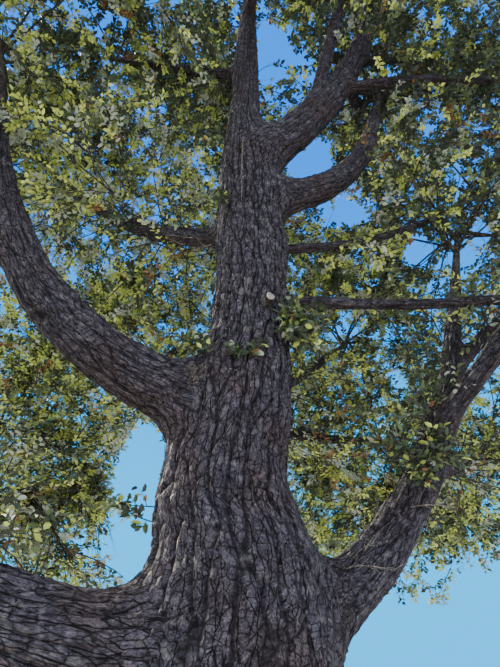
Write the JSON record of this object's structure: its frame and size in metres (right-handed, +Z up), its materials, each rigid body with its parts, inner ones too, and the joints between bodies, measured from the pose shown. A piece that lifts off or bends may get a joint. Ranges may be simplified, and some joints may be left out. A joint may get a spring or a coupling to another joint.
{
  "type": "oak tree",
  "caption": "Mature broad-crowned evergreen oak with a thick flared trunk, low spreading boughs and a full rounded crown of small leaves, cut flat at ground level.",
  "frame": {"origin": "middle of the flat cut under the trunk, at ground level", "axes": "+X to the right and +Y away from the side the picture is taken from, +Z up the trunk"},
  "size_m": [14.2106, 14.4098, 14.2999],
  "materials": {
    "bark": "thick, rough bark in dark grey-brown plates with deep furrows",
    "foliage": "small leathery leaves, dark olive to bright yellow-green, on thin twigs"
  },
  "bodies": {
    "root": {"trunk": "bark", "low_left_bough": "bark", "low_left_front_bough": "bark", "low_left_back_bough": "bark", "front_bough": "bark", "left_bough": "bark", "left_outer_bough": "bark", "left_front_bough": "bark", "back_left_bough": "bark", "back_bough": "bark", "back_low_bough": "bark", "back_low_left_bough": "bark", "back_low_right_bough": "bark", "back_right_bough": "bark", "low_right_bough": "bark", "low_right_outer_bough": "bark", "low_right_front_bough": "bark", "low_right_back_bough": "bark", "right_bough": "bark", "fork_bough": "bark", "fork_inner_bough": "bark", "fork_low_bough": "bark", "fork_outer_bough": "bark", "fork_back_bough": "bark", "upper_right_branch": "bark", "lower_right_branch": "bark", "leader_front_bough": "bark", "leader_left_bough": "bark", "leader_back_bough": "bark", "crown_top_mass": "foliage", "low_left_mass": "foliage", "low_left_front_mass": "foliage", "low_left_back_mass": "foliage", "front_mass": "foliage", "left_mass": "foliage", "left_outer_mass": "foliage", "left_front_mass": "foliage", "back_left_mass": "foliage", "back_mass": "foliage", "back_low_mass": "foliage", "back_low_left_mass": "foliage", "back_low_right_mass": "foliage", "back_right_mass": "foliage", "low_right_mass": "foliage", "low_right_outer_mass": "foliage", "low_right_front_mass": "foliage", "low_right_back_mass": "foliage", "right_mass": "foliage", "fork_low_mass": "foliage", "fork_mass": "foliage", "fork_inner_mass": "foliage", "fork_outer_mass": "foliage", "fork_back_mass": "foliage", "upper_right_mass": "foliage", "lower_right_mass": "foliage", "leader_front_mass": "foliage", "leader_left_mass": "foliage", "leader_back_mass": "foliage"}
  },
  "joints": []
}
